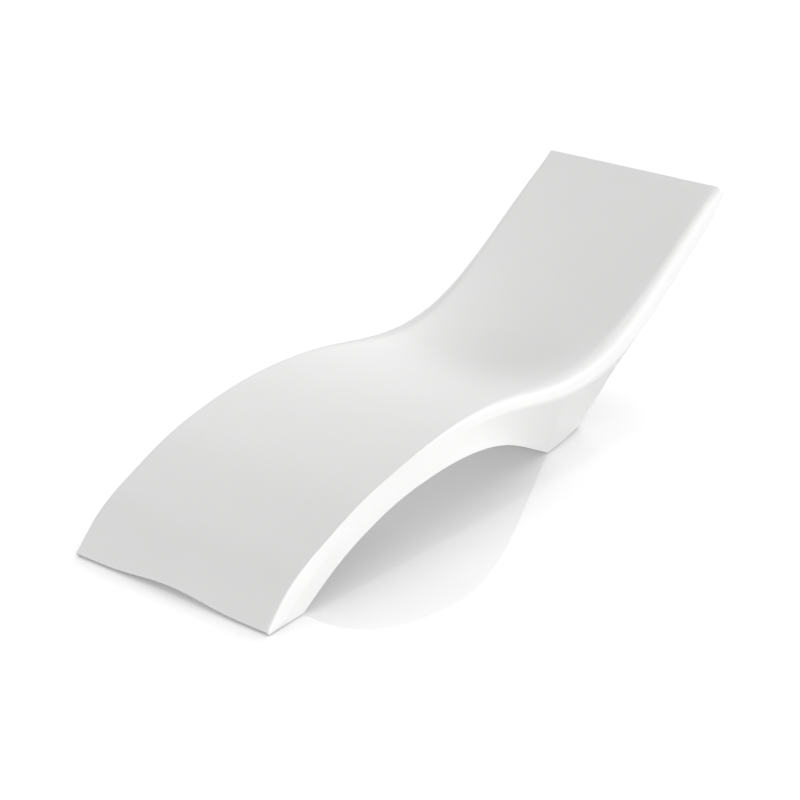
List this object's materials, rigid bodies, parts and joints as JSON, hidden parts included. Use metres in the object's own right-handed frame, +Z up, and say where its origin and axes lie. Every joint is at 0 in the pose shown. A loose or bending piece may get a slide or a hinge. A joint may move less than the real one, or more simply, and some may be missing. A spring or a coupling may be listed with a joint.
{
  "type": "in-pool sun lounger",
  "caption": "Hollow moulded wave-shaped pool lounger with raised knees, reclined back, through arch, fill cap, drain plugs and rubber foot pads; filled with water to stay down.",
  "frame": {"origin": "middle of the body shell's length and width, on the floor that the pads stand on", "axes": "+X from the foot edge to the head, +Y to the sitter's right, +Z up"},
  "size_m": [1.9038, 0.64, 0.6153],
  "materials": {
    "polyethylene": "satin",
    "closure_plastic": "satin",
    "bush_plastic": "satin",
    "pad_rubber": "matte",
    "seal_rubber": "matte",
    "stainless": "brushed",
    "brass": "satin"
  },
  "bodies": {
    "root": {"body_shell": "polyethylene", "fill_bushing": "bush_plastic", "front_drain_bushing": "bush_plastic", "rear_drain_bushing": "bush_plastic", "foot_pad_front_left": "pad_rubber", "pad_screw_front_left_inner": "stainless", "pad_insert_front_left_inner": "brass", "pad_screw_front_left_outer": "stainless", "pad_insert_front_left_outer": "brass", "foot_pad_front_right": "pad_rubber", "pad_screw_front_right_inner": "stainless", "pad_insert_front_right_inner": "brass", "pad_screw_front_right_outer": "stainless", "pad_insert_front_right_outer": "brass", "foot_pad_rear_left": "pad_rubber", "pad_screw_rear_left_inner": "stainless", "pad_insert_rear_left_inner": "brass", "pad_screw_rear_left_outer": "stainless", "pad_insert_rear_left_outer": "brass", "foot_pad_rear_right": "pad_rubber", "pad_screw_rear_right_inner": "stainless", "pad_insert_rear_right_inner": "brass", "pad_screw_rear_right_outer": "stainless", "pad_insert_rear_right_outer": "brass"},
    "fill_seal": {"fill_gasket": "seal_rubber"},
    "fill_cap": {"fill_cap": "closure_plastic"},
    "front_drain_seal": {"front_drain_oring": "seal_rubber"},
    "front_drain_plug": {"front_drain_plug": "closure_plastic"},
    "rear_drain_seal": {"rear_drain_oring": "seal_rubber"},
    "rear_drain_plug": {"rear_drain_plug": "closure_plastic"}
  },
  "joints": [
    {"name": "fill_travel", "type": "slide", "parent": "root", "child": "fill_seal", "axis": [0.7927, 0, -0.6096], "range_m": [0, 0.0171]},
    {"name": "fill_turn", "type": "hinge", "parent": "fill_seal", "child": "fill_cap", "pos_m": [0.86157, 0, 0.47213], "axis": [0.7927, 0, -0.6096], "range_deg": [0, 1530]},
    {"name": "front_drain_travel", "type": "slide", "parent": "root", "child": "front_drain_seal", "axis": [0.5861, 0, -0.8103], "range_m": [0, 0.0121]},
    {"name": "front_drain_turn", "type": "hinge", "parent": "front_drain_seal", "child": "front_drain_plug", "pos_m": [-0.77395, 0.245, 0.032], "axis": [0.5861, 0, -0.8103], "range_deg": [0, 2160]},
    {"name": "rear_drain_travel", "type": "slide", "parent": "root", "child": "rear_drain_seal", "axis": [0.7927, 0, -0.6096], "range_m": [0, 0.0121]},
    {"name": "rear_drain_turn", "type": "hinge", "parent": "rear_drain_seal", "child": "rear_drain_plug", "pos_m": [0.53663, 0, 0.04956], "axis": [0.7927, 0, -0.6096], "range_deg": [0, 2160]}
  ],
  "couplings": [
    {"joint": "fill_travel", "follows": "fill_turn", "m_per_rad": 0.00063662},
    {"joint": "front_drain_travel", "follows": "front_drain_turn", "m_per_rad": 0.00031831},
    {"joint": "rear_drain_travel", "follows": "rear_drain_turn", "m_per_rad": 0.00031831}
  ]
}
